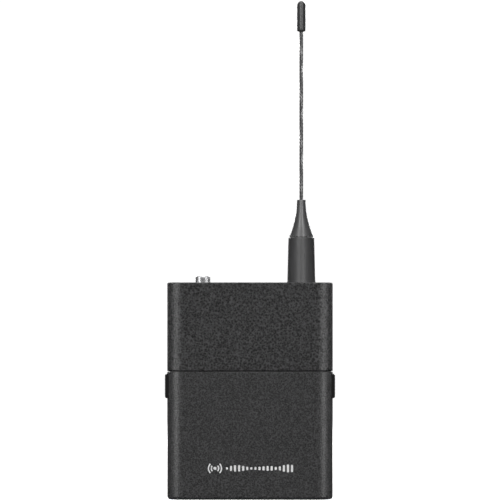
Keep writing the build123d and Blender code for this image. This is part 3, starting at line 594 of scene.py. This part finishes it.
# ---------------------------------------------------------------- pieces
def make_whip(material):
    """Six black strands twisted round a core, from inside the boot to inside the tip."""
    strands, lay, overlap, sides = 6, 8.9 * MM, 1.06, 10
    hidden, step = 2 * MM, 0.28 * MM
    fuller = 1.05  # makes up for the notches between the strands
    low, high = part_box("antenna_boot")[1].z - hidden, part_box("antenna_tip")[0].z + hidden
    box_low, box_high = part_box("antenna_whip")
    reach = (box_high.x - box_low.x) / 2 * fuller
    strand_r = reach / (1 + 1 / sin(pi / strands)) * overlap
    core_r = reach - 1.6 * strand_r
    steps = floor((high - low) / step)
    build = bmesh.new()
    for strand in range(strands):
        points = []
        for i in range(steps + 1):
            z = low + (high - low) * i / steps
            x, y = on_circle(reach - strand_r, z / lay + strand / strands)
            points.append(Vector((ANTENNA.x + x, y, z)))
        tube(build, points, strand_r, sides)
    tube(build, [Vector((ANTENNA.x, 0, low)), Vector((ANTENNA.x, 0, high))], core_r, 12)
    whip = mesh_object("whip_strands", build, material)
    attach(whip, "housing")
    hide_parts("antenna_whip")
    return whip


def make_collar(material):
    """The jack's threaded collar: a rolled thread, a chamfered mouth and a plain neck below."""
    low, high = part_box("jack_collar")
    r_out, r_neck, r_in = (high.x - low.x) / 2, 2.72 * MM, 2.49 * MM
    rim, mouth, gap = 0.3 * MM, 0.12 * MM, 0.03 * MM
    pitch, thread_deep, run_in, run_out = 0.4 * MM, 0.05 * MM, 0.3 * MM, 0.12 * MM
    rows, steps = 40, 96
    foot, crown = TOP + gap, high.z - rim
    build = bmesh.new()

    def point(radius, share, z):
        x, y = on_circle(radius, share)
        return build.verts.new((JACK.x + x, y, z))

    rings = []
    for row in range(rows + 1):
        z = foot + (crown - foot) * row / rows
        depth = thread_deep * max(min(1.0, (z - foot) / run_in, (crown - z) / run_out + 0.2), 0)
        rings.append([
            point(r_out - depth * (0.5 - 0.5 * cos((z / pitch + i / steps) * tau)), i / steps, z)
            for i in range(steps)
        ])
    plain = (
        (r_out - rim, high.z), (r_in + mouth, high.z), (r_in, high.z - mouth),
        (r_in, low.z), (r_neck, low.z), (r_neck, foot),
    )
    for radius, z in plain:
        rings.append([point(radius, i / steps, z) for i in range(steps)])
    for a, b in zip(rings, rings[1:] + rings[:1]):
        for i in range(steps):
            j = (i + 1) % steps
            build.faces.new((a[i], a[j], b[j], b[i]))
    collar = mesh_object("jack_thread", build, material)
    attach(collar, "housing")
    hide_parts("jack_collar")


def make_jack_contacts(material):
    """Four small leaf contacts inside the jack's bore, two on each side."""
    floor_gap, spacing, offset = 3 * MM, 4 * MM, 1.62 * MM
    bow, half_long, thick = 0.22 * MM, 1.2 * MM, 0.14 * MM
    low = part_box("jack_socket")[0].z + floor_gap
    build = bmesh.new()
    for side in (-1, 1):
        for z in (low, low + spacing):
            x = JACK.x + side * offset
            bowed = Vector((x - side * bow, 0, z + half_long))
            tube(build, [Vector((x, 0, z)), bowed, Vector((x, 0, z + 2 * half_long))], thick)
    contacts = mesh_object("jack_contacts", build, material)
    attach(contacts, "housing")


def make_front_mark(material):
    """A generic print on the cover: a source with two waves, and a row of level bars."""
    z_mid, x_dot, dot_r, dot_steps = 12.2 * MM, -13.5 * MM, 0.62 * MM, 24
    wave_half, wave_spread = 0.26 * MM, 0.78
    bars, bar_half, bar_round, first, last = 17, 0.425 * MM, 0.3 * MM, -8.9 * MM, 16.2 * MM
    build = bmesh.new()
    dot = [on_circle(dot_r, i / dot_steps) for i in range(dot_steps)]
    print_shape(build, [(x_dot + x, z_mid + z) for x, z in dot], on_front)
    for radius in (1.45 * MM, 2.5 * MM):
        for facing in (0, pi):
            start, end = facing - wave_spread, facing + wave_spread
            wave = arc_band(x_dot, z_mid, radius - wave_half, radius + wave_half, start, end)
            print_shape(build, wave, on_front)
    for i in range(bars):
        share = i / (bars - 1)
        x = first + (last - first) * share
        swell = abs(sin(share * 2.6 * pi)) * (0.6 + 0.4 * cos(share * 7.0))
        half = (0.45 + 1.1 * swell) * MM
        bar = rounded(x - bar_half, z_mid - half, x + bar_half, z_mid + half, bar_round)
        print_shape(build, bar, on_front)
    mark = mesh_object("cover_print", build, material, smooth=False)
    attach(mark, "cover")


def make_panel_icons(material):
    """Small prints above the inner buttons: on/off, a link and a level check."""
    above, r_in, r_out = 5.1 * MM, 0.62 * MM, 0.86 * MM
    power, sync, check = (middle(f"{name}_button") for name in ("power", "sync", "check"))
    z = power.z + above
    build = bmesh.new()
    open_ring = arc_band(power.x, z, r_in, r_out, -pi / 2 - 2.5, -pi / 2 + 2.5)
    print_shape(build, open_ring, on_panel)
    stroke = (power.x - 0.12 * MM, z + 0.1 * MM, power.x + 0.12 * MM, z + 1.1 * MM)
    print_shape(build, rounded(*stroke, 0.1 * MM), on_panel)
    for start in (0.5 + pi, 0.5):
        print_shape(build, arc_band(sync.x, z, r_in, r_out, start, start + 2.2), on_panel)
    wide, spacing, foot = 0.3 * MM, 0.5 * MM, z - 0.8 * MM
    for i in range(4):
        left, tall = check.x + (i - 1.75) * spacing, (0.5 + 0.35 * i) * MM
        bar = rounded(left, foot, left + wide, foot + tall, 0.08 * MM)
        print_shape(build, bar, on_panel)
    icons = mesh_object("panel_print", build, material, smooth=False)
    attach(icons, "housing")


def make_top_icons(material):
    """Small prints on the top face: waves, a cell, and the two ends of the slider's travel."""
    link, data, slider = (
        middle(name) for name in ("link_led_lens", "data_led_lens", "mute_slider")
    )
    y, low, thin = -4.6 * MM, -5.0 * MM, 0.2 * MM
    build = bmesh.new()
    for radius in (0.35 * MM, 0.8 * MM):
        print_shape(build, arc_band(link.x, low, radius, radius + thin, pi / 4, 3 * pi / 4), on_top)
    shapes = (
        (data.x - 0.8 * MM, y - 0.4 * MM, data.x + 0.7 * MM, y + 0.4 * MM, 0.1 * MM),
        (data.x + 0.75 * MM, y - 0.2 * MM, data.x + 0.95 * MM, y + 0.2 * MM, 0.05 * MM),
    )
    for shape in shapes:
        print_shape(build, rounded(*shape), on_top)
    print_shape(build, arc_band(slider.x, y, 0.45 * MM, 0.65 * MM, 0, tau, 32), on_top)
    stroke = (slider.x + 3.1 * MM, y - 0.5 * MM, slider.x + 3.35 * MM, y + 0.5 * MM)
    print_shape(build, rounded(*stroke, 0.08 * MM), on_top)
    icons = mesh_object("top_print", build, material, smooth=False)
    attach(icons, "housing")


def make_latch_grips(material):
    """Five low ridges for the thumb on each latch."""
    ridges, spacing, half_y, wire, sunk = 5, 1.35 * MM, 1.35 * MM, 0.2 * MM, 0.10 * MM
    y_mid, z_mid, steps = -2.7 * MM, 43.75 * MM, 6
    for side, node in ((-1, "latch_left"), (1, "latch_right")):
        low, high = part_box(node)
        x = (high.x if side > 0 else low.x) - side * sunk
        build = bmesh.new()
        for i in range(ridges):
            z = z_mid + (i - 2) * spacing
            ys = [y_mid + (j / steps - 0.5) * 2 * half_y for j in range(steps + 1)]
            tube(build, [Vector((x, y, z)) for y in ys], wire, 10)
        grip = mesh_object(f"{node}_ridges", build, material)
        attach(grip, node)


def make_latch_springs(material):
    """Coils in the places of the latch springs, one on each side."""
    turns, turn_steps, wire, travel = 5, 24, 0.16 * MM, 1.2 * MM
    for side, name in ((-1, "left"), (1, "right")):
        low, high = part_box(f"latch_spring_{name}")
        centre, length = (low + high) / 2, high.x - low.x
        radius = (high.z - low.z) / 2 - wire
        run, steps = length - 2 * wire, turns * turn_steps
        start = centre.x - side * run / 2
        points = []
        for i in range(steps + 1):
            y, z = on_circle(radius, i / turn_steps)
            points.append(Vector((start + side * run * i / steps, centre.y + y, centre.z + z)))
        build = bmesh.new()
        tube(build, points, wire, 10)
        spring = mesh_object(f"latch_coil_{name}", build, material)
        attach(spring, "cover")
        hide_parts(f"latch_spring_{name}")
        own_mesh(spring)


def sleeve_outline(end, body_end, radius):
    """Half the section of a cell's printed sleeve, from the minus end to the plus end."""
    inset_and_height = (
        (1.15, -end + 0.30 * MM), (1.10, -end + 0.12 * MM), (0.55, -end + 0.12 * MM),
        (0.20, -end + 0.30 * MM), (0.02, -end + 0.75 * MM), (0.02, -end + 1.5 * MM),
        (0.02, body_end - 1.6 * MM), (0.02, body_end - 0.9 * MM), (0.18, body_end - 0.42 * MM),
        (0.50, body_end - 0.16 * MM), (1.30, body_end - 0.10 * MM), (1.35, body_end - 0.28 * MM),
    )
    return [(radius - inset * MM, height) for inset, height in inset_and_height]


def can_outline(end, body_end, radius):
    """Half the section of a cell's steel can, with its recessed base, crimp and nub."""
    nub_r = 2.75 * MM
    return [
        (0, -end + 0.02 * MM), (4.6 * MM, -end + 0.02 * MM), (5.2 * MM, -end + 0.10 * MM),
        (5.5 * MM, -end + 0.28 * MM), (radius - 1.12 * MM, -end + 0.28 * MM),
        (radius - 0.30 * MM, -end + 0.60 * MM), (radius - 0.30 * MM, body_end - 1.0 * MM),
        (radius - 1.20 * MM, body_end - 0.28 * MM), (4.7 * MM, body_end - 0.28 * MM),
        (4.5 * MM, body_end - 0.12 * MM), (3.3 * MM, body_end - 0.12 * MM),
        (nub_r, body_end + 0.10 * MM), (nub_r - 0.06 * MM, end - 0.30 * MM),
        (nub_r - 0.32 * MM, end - 0.05 * MM), (1.5 * MM, end), (0, end),
    ]


def make_cells(steel):
    """Each cell: a printed sleeve with rolled ends over a steel can. They point opposite ways."""
    nub_tall = 1.0 * MM
    for node, plus_side in (("battery_cell_upper", 1), ("battery_cell_lower", -1)):
        low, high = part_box(node)
        centre = Vector((0, (low.y + high.y) / 2, (low.z + high.z) / 2))
        end, radius = high.x, (high.z - low.z) / 2
        section = (end, end - nub_tall, radius)

        def place(x, y, h, plus_side=plus_side):
            return lying(x, y, h * plus_side)

        sleeve = bmesh.new()
        lathe(sleeve, sleeve_outline(*section), centre, place, 96)
        wrap = mesh_object(f"{node}_sleeve", sleeve, cell_sleeve(plus_side))
        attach(wrap, "housing")
        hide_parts(node)
        can = bmesh.new()
        lathe(can, can_outline(*section), centre, place, 64)
        body = mesh_object(f"{node}_can", can, steel)
        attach(body, "housing")


def pad_point(u, v, low, high):
    """The pad's top at (u, v), each from -1 to 1: a crown with pulled-in sides and soft edges."""
    across, tall, deep = high.x - low.x, high.z - low.z, high.y - low.y
    edge = (1 - abs(u) ** 10) * (1 - abs(v) ** 6)
    pull_x = 0.012 * (1 - abs(u) ** 2) * abs(v) ** 4
    pull_z = 0.02 * (1 - abs(v) ** 2) * abs(u) ** 4
    pull = 1 - pull_x - pull_z
    crown = deep * (0.30 + 0.70 * edge ** 0.45) if max(abs(u), abs(v)) < 1 else deep * 0.30
    x = (low.x + high.x) / 2 + u * across / 2 * pull * (1 - 0.012 * abs(v) ** 8)
    z = (low.z + high.z) / 2 + v * tall / 2 * pull * (1 - 0.02 * abs(u) ** 8)
    return x, low.y + crown, z


def make_pad(material):
    """The foam pad inside the cover, flat where it is glued on."""
    low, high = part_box("battery_pad")
    nx, nz = 48, 20
    build = bmesh.new()
    rows = []
    for k in range(nz + 1):
        row = []
        for i in range(nx + 1):
            x, y, z = pad_point(i / nx * 2 - 1, k / nz * 2 - 1, low, high)
            row.append((build.verts.new((x, y, z)), build.verts.new((x, low.y, z))))
        rows.append(row)
    for a, b in zip(rows, rows[1:]):
        for i in range(nx):
            build.faces.new((a[i][0], a[i + 1][0], b[i + 1][0], b[i][0]))
            build.faces.new((a[i][1], b[i][1], b[i + 1][1], a[i + 1][1]))
    rim = [rows[0][i] for i in range(nx + 1)]
    rim += [rows[k][nx] for k in range(1, nz + 1)]
    rim += [rows[nz][i] for i in range(nx - 1, -1, -1)]
    rim += [rows[k][0] for k in range(nz - 1, 0, -1)]
    for a, b in zip(rim, rim[1:] + rim[:1]):
        build.faces.new((a[0], a[1], b[1], b[0]))
    pad = mesh_object("cover_pad_foam", build, material)
    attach(pad, "cover")
    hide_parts("battery_pad")


def dress_cad_nodes(looks):
    """Gives every CAD node the material of its slot in the record."""
    for part in frame["record"]["subparts"]:
        mesh = frame["nodes"][part["node"]].data
        mesh.materials.clear()
        mesh.materials.append(looks[part["material_slot"]])


# ---------------------------------------------------------------- stage
TABLE_DROP = 6 * MM
WATTS = {"side": 2.05, "key": 1.3, "antenna": 46.0, "top": 4.0, "back": 5.0}
WORLD = 0.045
ANTENNA_NODES = (
    "antenna_sleeve", "antenna_collar", "antenna_boot", "antenna_tip", "antenna_core",
)


def look_at(obj, target):
    """Turns a camera or light to face a place."""
    obj.rotation_euler = (Vector(target) - obj.location).to_track_quat("-Z", "Y").to_euler()


def make_camera():
    """Square on to the front, with a long lens; the frame is a little taller than the object."""
    lens_mm, sensor, view_height = 400.0, 36.0, 193.35 * MM
    data = bpy.data.cameras.new("camera")
    data.lens, data.sensor_width = lens_mm, sensor
    data.clip_start, data.clip_end = 0.05, 50
    camera = bpy.data.objects.new("camera", data)
    widest = FRONT + FRONT_ROUND
    camera.location = (0, widest - view_height * lens_mm / sensor, cad_box[1].z / 2)
    camera.rotation_euler = (pi / 2, 0, 0)
    bpy.context.collection.objects.link(camera)
    bpy.context.scene.camera = camera


def area_light(name, place, target, size, watts):
    """A softbox of that size in metres, out of the camera's sight."""
    data = bpy.data.lights.new(name, "AREA")
    data.shape, data.size, data.size_y, data.energy = "RECTANGLE", size[0], size[1], watts
    light = bpy.data.objects.new(name, data)
    light.location = place
    light.visible_camera = False
    look_at(light, target)
    bpy.context.collection.objects.link(light)
    return light


def lights_only(light, objects, state):
    """Lets a light reach only these objects (INCLUDE), or all but these (EXCLUDE)."""
    group = bpy.data.collections.new(f"{light.name}_{state.lower()}")
    for obj in objects:
        group.objects.link(obj)
    for member in group.collection_objects:
        member.light_linking.link_state = state
    light.light_linking.receiver_collection = group


def white_paper():
    """Pale paper that glows a little, more so far from the object."""
    look = Look("white_paper", Roughness=0.9, Emission_Color=(1, 1, 1, 1))
    reach = look.node("ShaderNodeVectorMath", {"operation": "LENGTH"}, {0: look.coordinates})
    look.set(Emission_Strength=look.spread(reach.outputs["Value"], 0.2, 0.6, 0.8, 1.0))
    fibre = look.noise(2 * MM, 3.0)
    look.set(Base_Color=look.mix(look.spread(fibre, 0.3, 0.7), grey(0.84, 1.0), grey(0.88, 1.0)))
    return look.material


def make_stage():
    """A round white table that curves up into a white wall all round, and lights nothing.

    It lies a little below the base, because the open cover swings down past it.
    """
    flat, bend, top, steps, sides = 6.0, 0.6, 7.0, 16, 96
    outline = [(0, 0), (0.3, 0), (flat, 0)]
    outline += [
        (flat + bend * sin(i / steps * pi / 2), bend * (1 - cos(i / steps * pi / 2)))
        for i in range(1, steps + 1)
    ]
    outline += [(flat + bend, top), (0, top + 0.3)]
    build = bmesh.new()
    lathe(build, outline, Vector((0, 0, 0)), upright, sides)
    table = mesh_object("table", build, white_paper())
    table.location.z = -TABLE_DROP
    table.visible_diffuse = table.visible_glossy = table.visible_shadow = False


def make_world():
    """A dim, even white surround, and colours shown as they are."""
    world = bpy.data.worlds.new("studio")
    world.use_nodes = True
    background = world.node_tree.nodes["Background"]
    background.inputs["Color"].default_value = (1, 1, 1, 1)
    background.inputs["Strength"].default_value = WORLD
    bpy.context.scene.world = world
    bpy.context.scene.view_settings.view_transform = "Standard"


def make_lights(antenna):
    """Side softboxes for the case's round edges, a broad one for the antenna, and fill behind."""
    target = (0, 0, 0.07)
    for side, name in ((-1, "left"), (1, "right")):
        place, size = (side * 0.51, -0.33, 0.15), (0.11, 0.30)
        softbox = area_light(f"softbox_{name}", place, target, size, WATTS["side"])
        lights_only(softbox, antenna, "EXCLUDE")
        place, size = (side * 0.33, 0.92, 0.40), (0.35, 0.5)
        area_light(f"back_{name}", place, target, size, WATTS["back"])
    front, reach = (-0.03, -1.05, 0.55), (0, 0, 0.10)
    area_light("softbox_key", front, reach, (0.75, 1.4), WATTS["key"])
    broad = area_light("softbox_antenna", front, reach, (1.1, 1.4), WATTS["antenna"])
    lights_only(broad, antenna, "INCLUDE")
    area_light("softbox_top", (0, -0.05, 0.95), target, (0.7, 0.5), WATTS["top"])


# ---------------------------------------------------------------- the scene
MAKERS = (
    upper_plastic, cover_plastic, rear_plastic, inner_plastic, latch_plastic, button_plastic,
    switch_steel, lens, silver_metal, spring_steel, contact_metal, board_laminate, shield_metal,
    chip_plastic, antenna_plastic, antenna_rubber, antenna_brass, whip_wire, tip_plastic,
    clip_wire, screw_steel, label_film, foam,
)
looks = {maker.__name__: maker() for maker in MAKERS}
looks["cell_jacket"] = looks["contact_metal"]  # the plain cells are hidden by pieces of their own
print_ink = white_print()

make_camera()
make_stage()
make_world()
dress_cad_nodes(looks)
whip = make_whip(looks["whip_wire"])
make_lights([frame["nodes"][name] for name in ANTENNA_NODES] + [whip])
make_collar(looks["silver_metal"])
make_jack_contacts(looks["contact_metal"])
make_front_mark(print_ink)
make_panel_icons(print_ink)
make_top_icons(print_ink)
make_latch_grips(looks["latch_plastic"])
make_latch_springs(looks["spring_steel"])
make_cells(looks["contact_metal"])
make_pad(looks["foam"])
